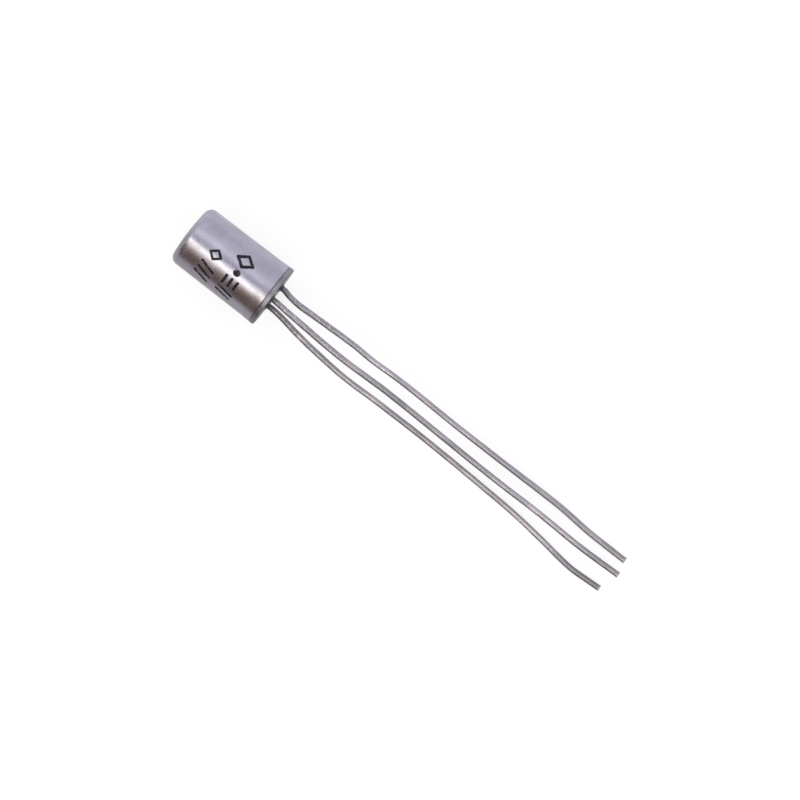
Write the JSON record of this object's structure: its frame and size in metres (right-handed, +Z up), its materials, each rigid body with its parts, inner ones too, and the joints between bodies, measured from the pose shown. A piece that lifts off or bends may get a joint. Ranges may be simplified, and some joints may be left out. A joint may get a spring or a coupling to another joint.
{
  "type": "germanium transistor",
  "caption": "Small round metal-can transistor lying on its side, with a glass-sealed header and long, slightly bent wire leads for soldering.",
  "frame": {"origin": "on the surface that the part lies on, under the middle of its bounding box", "axes": "+Z up; +X along the can's axis, from the closed end towards the leads' tips"},
  "size_m": [0.0488, 0.0062, 0.0061],
  "materials": {
    "can_metal": "satin tinned sheet metal, lightly scuffed",
    "rim_metal": "duller grey metal, darker in its seam",
    "seal_glass": "dark glossy glass",
    "tinned_wire": "dull tinned wire with a slightly uneven coat",
    "nickel_strip": "bright rolled nickel",
    "solder": "smooth solder",
    "germanium": "etched grey crystal",
    "indium": "soft matt metal",
    "fine_wire": "drawn nickel wire"
  },
  "bodies": {
    "root": {"can": "can_metal", "header_eyelet": "rim_metal", "glass_seal": "seal_glass", "emitter_lead": "tinned_wire", "base_lead": "tinned_wire", "collector_lead": "tinned_wire", "base_tab": "nickel_strip", "base_solder": "solder", "germanium_crystal": "germanium", "emitter_dot": "indium", "collector_dot": "indium", "emitter_whisker": "fine_wire", "collector_whisker": "fine_wire", "emitter_bead": "solder", "collector_bead": "solder"}
  },
  "joints": []
}
